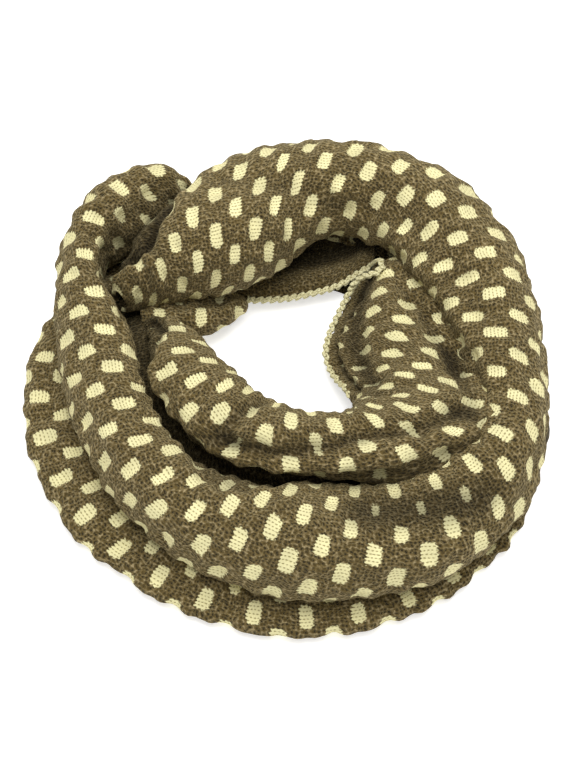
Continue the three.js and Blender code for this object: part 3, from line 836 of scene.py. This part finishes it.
def knit_material(name, dots=True, from_map=True, shade=1.0):
    """Bulky knit: dark stitch holes in painted shade between loops in painted light, cream dots with
    stepped edges, and painted shade that deepens with the folds.
    """
    cloth = bpy.context.scene.scarf_cloth
    material, tree, shader = new_material(name, KNIT_ROUGHNESS, KNIT_SHEEN, KNIT_TINT)
    u, v, vector = cloth_coordinates(tree, from_map)
    hollow = node_attribute(tree, "hollow")
    slow = node_noise(tree, vector, SWAY_SCALE)
    sway = node_math(tree, "SUBTRACT", slow, 0.5)
    speck = centred_noise(tree, vector, SPECK_SCALE, 3.0)
    u = plus(tree, u, sway, SWAY_DRIFT)
    v = plus(tree, v, sway, -SWAY_DRIFT)
    colour, height = knit_ground(tree, cloth, u, v, vector, speck)
    if dots:
        dot = dot_mask(tree, cloth, u, v, speck, sway, hollow)
        hole = dot_holes(tree, u, v, speck)
        # Painted shade in the holes between a dot's stitches
        cream = node_mix(tree, hole, cloth.dot_colour, cloth.dot_hole_shade_colour)
        colour = node_mix(tree, dot, colour, cream)
        beside = node_math(tree, "MULTIPLY", height, node_range(tree, dot, 1.0, 0.0))
        height = plus(tree, beside, node_math(tree, "MULTIPLY", hole, dot), -DOT_HOLE_DEPTH)
    # Slow random tone, times the shade factor, which is painted shade on the hidden layers and on the
    # wrong side, and dims their sheen too
    tone = node_range(tree, slow, 0.3, 0.7, 0.92 * shade, 1.08 * shade)
    # Painted shade: the colour and the sheen get darker the deeper the folds push the cloth in
    painted_shade = node_range(tree, hollow, 0.2, 0.8, 1.0, FOLD_PAINTED_SHADE)
    toned = tree.nodes.new("ShaderNodeVectorMath")
    toned.operation = "SCALE"
    tree.links.new(colour, toned.inputs[0])
    tree.links.new(node_math(tree, "MULTIPLY", tone, painted_shade), toned.inputs["Scale"])
    tree.links.new(toned.outputs[0], shader.inputs["Base Color"])
    sheen = node_math(tree, "MULTIPLY", painted_shade, KNIT_SHEEN * shade)
    tree.links.new(sheen, shader.inputs["Sheen Weight"])
    add_bump(tree, shader, height, KNIT_BUMP)
    return material


def knit(name="dotted_knit", **settings):
    """The knit of that name, made the first time that it is asked for."""
    return bpy.data.materials.get(name) or knit_material(name, **settings)


def chain_material():
    """Cream yarn of the chain that binds off the band's edges."""
    material, tree, shader = new_material("selvage_yarn", CHAIN_ROUGHNESS, CHAIN_SHEEN, CHAIN_TINT)
    vector = cloth_coordinates(tree, False)[2]
    twist = node_noise(tree, vector, TWIST_SCALE)
    colour = node_mix(tree, node_range(tree, twist, 0.35, 0.7), CHAIN_CREAM, CHAIN_SHADE)
    tree.links.new(colour, shader.inputs["Base Color"])
    add_bump(tree, shader, twist, CHAIN_BUMP)
    return material


# Chains along the free edges


def even_path(points, spacing):
    """A path through points, with stops that are evenly spaced along it."""
    table = np.array(points, dtype=float)
    fine = rows_at(table, np.linspace(0, len(table) - 1, FINE_STEPS * len(table)))
    lengths = lengths_along(fine)
    stops = np.linspace(0, lengths[-1], int(lengths[-1] / spacing) + 1)
    return np.stack([np.interp(stops, lengths, fine[:, axis]) for axis in range(3)], axis=-1)


def link_points():
    """One chain stitch modelled as a tilted, drawn-out ring of yarn: its points and faces."""
    bpy.ops.object.select_all(action="DESELECT")
    bpy.ops.mesh.primitive_torus_add(
        major_segments=12, minor_segments=6, major_radius=LINK_WIDTH / 2, minor_radius=LINK_YARN
    )
    link = bpy.context.active_object
    bpy.ops.object.mode_set(mode="EDIT")
    bpy.ops.mesh.select_all(action="SELECT")
    bpy.ops.transform.resize(value=(LINK_LENGTH / LINK_WIDTH, 1, 1))
    bpy.ops.transform.rotate(value=LINK_TILT, orient_axis="Y", center_override=(0, 0, 0))
    bpy.ops.object.mode_set(mode="OBJECT")
    points = np.array([vertex.co for vertex in link.data.vertices])
    faces = [tuple(polygon.vertices) for polygon in link.data.polygons]
    bpy.data.objects.remove(link)
    return points, faces


def chain_mesh(name, path):
    """A row of chain stitches along a path, each one lying in the one before it."""
    link, link_faces = link_points()
    stops = even_path(path, LINK_STEP)
    vertices, faces = [], []
    for i, (start, end) in enumerate(zip(stops, stops[1:])):
        along = (end - start) / np.linalg.norm(end - start)
        side = np.cross([0, 0, 1], along)
        side = side / np.linalg.norm(side)
        up = np.cross(along, side)
        swing = LINK_SWING if i % 2 else -LINK_SWING
        along, side = (
            along * math.cos(swing) + side * math.sin(swing),
            side * math.cos(swing) - along * math.sin(swing),
        )
        first = len(vertices)
        vertices.extend(start + link @ np.stack([along, side, up]))
        faces.extend(tuple(index + first for index in face) for face in link_faces)
    return smooth_mesh(name, vertices, faces)


def surface_path(rows, places, away):
    """Points just off a stretch's cloth, at rows of its table and angles round it."""
    table = np.array(places, dtype=float)
    return roll_points(rows_at(rows, table[:, 0]), table[:, 1:], -away)[:, 0]


def edge_path(rows, span, steps, away, lift):
    """Points just past the first edge of a stretch's cloth."""
    values = rows_at(rows, np.linspace(*span, steps))
    points = roll_points(values, column(values, "start"), -away)[:, 0]
    points[:, 2] = np.maximum(points[:, 2] + lift, CHAIN_LEAST_HEIGHT)
    return points


# Skirt and hidden layers


def once_round(table):
    """Rows by azimuth, with the last one before them and the first two after them, to close a ring."""
    before = [(table[-1][0] + 360, *table[-1][1:])]
    after = [(row[0] - 360, *row[1:]) for row in table[:2]]
    return before + table + after


def skirt_rows():
    """The skirt's rows as a roll's table, closed to a ring."""
    rows = []
    for azimuth, radius, half, rise in once_round(SKIRT_EDGE):
        x = (radius - half) * math.cos(math.radians(azimuth))
        y = (radius - half) * math.sin(math.radians(azimuth))
        rows.append((x, y, rise, half, rise, azimuth, *SKIRT_ANGLES))
    return rows


def closed_rings(points, capped):
    """Vertices and faces of a body made of rings of points, outward faces, with its two ends filled."""
    rings, sides = points.shape[:2]
    faces = []
    for i in range(rings - 1 if capped else rings):
        here = i * sides
        after = ((i + 1) % rings) * sides
        for j in range(sides):
            k = (j + 1) % sides
            faces.append((here + j, after + j, after + k, here + k))
    if capped:
        faces.append(tuple(range(sides)))
        faces.append(tuple((rings - 1) * sides + j for j in range(sides))[::-1])
    return points.reshape(-1, 3), faces


def filling(rows, folds, span, steps, inset, sides=24, capped=True):
    """The layers inside a roll: its whole section moved in by the inset, its folds half as deep."""
    places = np.linspace(*span, steps)
    if not capped:
        places = places[:-1]
    values = rows_at(rows, places)
    degrees = np.broadcast_to(np.linspace(0, 360, sides + 1)[:-1], (len(values), sides))
    points = roll_points(values, degrees, inset + 0.5 * fold_depth(folds, values, places, degrees))
    return closed_rings(points, capped)


def stack_ring():
    """The layers between the turns, with one rounded edge over another towards the neck hole."""
    values = rows_at(once_round(STACK), np.linspace(1, 1 + len(STACK), STACK_STEPS + 1)[:-1])
    azimuth, inner, outer, height, shoulder = (values[:, i, None] for i in range(5))
    shares = np.linspace(0, 1, STACK_EDGE_POINTS + 1)
    dent = LAYER_BULGE * np.abs(np.cos(shares * STACK_LAYERS * math.pi))
    middle = inner + (outer - inner) * STACK_SHOULDER
    radius = np.concatenate([inner + dent, middle - height / 3, middle, outer, outer], axis=1)
    z = np.concatenate([height * shares, height, shoulder, shoulder / 2, outer * 0], axis=1)
    angle = np.radians(azimuth)
    x = radius * np.cos(angle) + CENTRE_SHIFT[0]
    y = radius * np.sin(angle) + CENTRE_SHIFT[1]
    return closed_rings(np.stack([x, y, z], axis=-1), False)


def layers_mesh(name):
    """The hidden layers: what fills the rolls, and the stack that they lie on."""
    # Known defect: at rows 2 to 5 of the lower turn its filling is too wide. It shows under the
    # upper turn on the right, and comes through the skirt there.
    bodies = [
        stack_ring(),
        filling(OUTER_TURN, OUTER_FOLDS, (0.8, 25.5), 160, ROLL_INSET),
        filling(INNER_TURN, INNER_FOLDS, (0.8, 14.4), 90, ROLL_INSET),
        filling(LEFT_LOBE, LOBE_FOLDS, (0.4, 4.3), 24, LOW_INSET),
        filling(skirt_rows(), SKIRT_FOLDS, (1, 1 + len(SKIRT_EDGE)), 120, LOW_INSET, capped=False),
    ]
    vertices, faces = [], []
    for points, body_faces in bodies:
        shift = len(vertices)
        vertices.extend(points.tolist())
        faces.extend(tuple(index + shift for index in face) for face in body_faces)
    return smooth_mesh(name, vertices, faces)


# Stage


def add_floor(stage):
    """A wide pale floor that gives a little light of its own."""
    bpy.ops.object.select_all(action="DESELECT")
    bpy.ops.mesh.primitive_plane_add(size=FLOOR_SIZE)
    floor = bpy.context.active_object
    floor.name = "floor"
    material = bpy.data.materials.new("floor")
    material.use_nodes = True
    shader = material.node_tree.nodes["Principled BSDF"]
    shader.inputs["Base Color"].default_value = (*stage.floor_colour, 1)
    shader.inputs["Roughness"].default_value = 0.9
    shader.inputs["Emission Color"].default_value = (1, 1, 1, 1)
    shader.inputs["Emission Strength"].default_value = stage.glow
    floor.data.materials.append(material)


def light_scene(scene, stage):
    """Even white light all round, and one big soft lamp above the scarf."""
    world = bpy.data.worlds.new("studio")
    world.use_nodes = True
    world.node_tree.nodes["Background"].inputs["Color"].default_value = (1, 1, 1, 1)
    world.node_tree.nodes["Background"].inputs["Strength"].default_value = stage.sky
    scene.world = world
    lamp = bpy.data.lights.new("window", "AREA")
    lamp.size = LAMP_SIZE
    lamp.energy = stage.lamp
    holder = bpy.data.objects.new("window", lamp)
    holder.location = LAMP_PLACE
    holder.rotation_euler = (-holder.location).to_track_quat("-Z", "Y").to_euler()
    scene.collection.objects.link(holder)


def add_camera(scene, stage):
    """The photo's camera, which looks down on the scarf from the front."""
    camera = bpy.data.cameras.new("camera")
    camera.sensor_width = SENSOR
    camera.lens = SENSOR * CAMERA_DISTANCE / FRAME_HEIGHT
    holder = bpy.data.objects.new("camera", camera)
    back = Vector((0, -math.cos(stage.elevation), math.sin(stage.elevation)))
    holder.location = Vector(CAMERA_TARGET) * MM + back * stage.distance
    holder.rotation_euler = (-back).to_track_quat("-Z", "Y").to_euler()
    scene.collection.objects.link(holder)
    scene.camera = holder


# Operators: one for each piece or group of like pieces


class SCARF_OT_upper_turn(bpy.types.Operator):
    """Builds the upper turn of the band, from its tucked start to its end beneath it"""

    bl_idname = "scarf.upper_turn"
    bl_label = "Upper turn"

    def execute(self, context):
        piece = cloth_piece(
            "upper_turn_knit", OUTER_TURN, OUTER_FOLDS, (0, 26), knit(), grain=OUTER_GRAIN, seed=1
        )
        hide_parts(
            "upper_turn_back", "upper_turn_right", "upper_turn_front", "upper_turn_left",
            "upper_turn_end",
        )
        return {"FINISHED"}


class SCARF_OT_lower_turn(bpy.types.Operator):
    """Builds the lower turn of the band: the slope on the right, then the roll inside the hole"""

    bl_idname = "scarf.lower_turn"
    bl_label = "Lower turn"

    def execute(self, context):
        piece = cloth_piece(
            "lower_turn_knit", INNER_TURN, INNER_FOLDS, (0, 15), knit(), grain=INNER_GRAIN,
            hem=PLAIN_HEM, seed=4,
        )
        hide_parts("lower_turn_right", "lower_turn_front", "lower_turn_left")
        return {"FINISHED"}


class SCARF_OT_left_lobe(bpy.types.Operator):
    """Builds the rounded fold that ends the lower turn under the upper one"""

    bl_idname = "scarf.left_lobe"
    bl_label = "Left lobe"

    def execute(self, context):
        piece = cloth_piece("left_lobe_knit", LEFT_LOBE, LOBE_FOLDS, (0, 5), knit(), seed=7)
        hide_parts("left_lobe")
        return {"FINISHED"}


class SCARF_OT_back_strip(bpy.types.Operator):
    """Builds the stretch at the back that shows its wrong side"""

    bl_idname = "scarf.back_strip"
    bl_label = "Back strip"

    def execute(self, context):
        wrong_side = knit("wrong_side_knit", dots=False, shade=WRONG_SIDE_SHADE)
        piece = cloth_piece(
            "back_strip_knit", BACK_STRIP, BACK_FOLDS, (0, 5), wrong_side, relief=0.4, seed=9
        )
        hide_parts("back_strip")
        return {"FINISHED"}


class SCARF_OT_skirt(bpy.types.Operator):
    """Builds the lowest fold, which lies on the surface all round"""

    bl_idname = "scarf.skirt"
    bl_label = "Skirt"

    def execute(self, context):
        span = (1, 1 + len(SKIRT_EDGE))
        piece = cloth_piece("skirt_knit", skirt_rows(), SKIRT_FOLDS, span, knit(), ring=True, seed=12)
        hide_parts("skirt")
        return {"FINISHED"}


class SCARF_OT_selvages(bpy.types.Operator):
    """Builds the cream chains along the band's free edges"""

    bl_idname = "scarf.selvages"
    bl_label = "Selvages"

    def execute(self, context):
        yarn = chain_material()
        edge = edge_path(BACK_STRIP, BACK_EDGE_SPAN, BACK_EDGE_STEPS, BACK_EDGE_AWAY, BACK_EDGE_LIFT)
        hook = surface_path(INNER_TURN, HOOK_PLACES, HOOK_AWAY)
        back = np.concatenate([edge, hook])
        slope = surface_path(INNER_TURN, SLOPE_EDGE_PLACES, SLOPE_EDGE_AWAY)
        chains = (("back_chain", back, "selvage_back"), ("slope_chain", slope, "selvage_slope"))
        for name, path, node in chains:
            piece = add_object(name, chain_mesh(name, path), yarn)
            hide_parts(node)
        return {"FINISHED"}


class SCARF_OT_hidden_layers(bpy.types.Operator):
    """Finishes the hidden layers and their edges inside the neck hole"""

    bl_idname = "scarf.hidden_layers"
    bl_label = "Hidden layers"

    def execute(self, context):
        # Painted shade: the hidden layers' knit is darkened, as they show only in the crevices
        plain = knit("inner_knit", dots=False, from_map=False, shade=HIDDEN_PAINTED_SHADE)
        piece = add_object("hidden_layers_knit", layers_mesh("hidden_layers_knit"), plain)
        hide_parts("hidden_layers")
        return {"FINISHED"}


class SCARF_OT_stage(bpy.types.Operator):
    """Sets up the floor, the lights and the camera"""

    bl_idname = "scarf.stage"
    bl_label = "Stage"

    def execute(self, context):
        stage = context.scene.scarf_stage
        add_floor(stage)
        light_scene(context.scene, stage)
        add_camera(context.scene, stage)
        context.scene.view_settings.view_transform = "Standard"
        return {"FINISHED"}


OPERATORS = (
    SCARF_OT_stage,
    SCARF_OT_hidden_layers,
    SCARF_OT_upper_turn,
    SCARF_OT_lower_turn,
    SCARF_OT_left_lobe,
    SCARF_OT_back_strip,
    SCARF_OT_skirt,
    SCARF_OT_selvages,
)


class SCARF_PT_panel(bpy.types.Panel):
    """The scarf's sizes, colours and pieces"""

    bl_idname = "SCARF_PT_panel"
    bl_label = "Infinity Scarf"
    bl_space_type = "VIEW_3D"
    bl_region_type = "UI"
    bl_category = "Scarf"

    def draw(self, context):
        column = self.layout.column()
        for settings in (context.scene.scarf_cloth, context.scene.scarf_stage):
            for name in settings.__annotations__:
                column.prop(settings, name)
        for operator in OPERATORS:
            column.operator(operator.bl_idname)


CLASSES = (ScarfCloth, ScarfStage, *OPERATORS, SCARF_PT_panel)


def register():
    for item in CLASSES:
        bpy.utils.register_class(item)
    bpy.types.Scene.scarf_cloth = bpy.props.PointerProperty(type=ScarfCloth)
    bpy.types.Scene.scarf_stage = bpy.props.PointerProperty(type=ScarfStage)


def unregister():
    del bpy.types.Scene.scarf_stage
    del bpy.types.Scene.scarf_cloth
    for item in reversed(CLASSES):
        bpy.utils.unregister_class(item)


def main():
    register()
    bpy.ops.scarf.stage()
    bpy.ops.scarf.hidden_layers()
    bpy.ops.scarf.upper_turn()
    bpy.ops.scarf.lower_turn()
    bpy.ops.scarf.left_lobe()
    bpy.ops.scarf.back_strip()
    bpy.ops.scarf.skirt()
    bpy.ops.scarf.selvages()


if __name__ == "__main__":
    main()
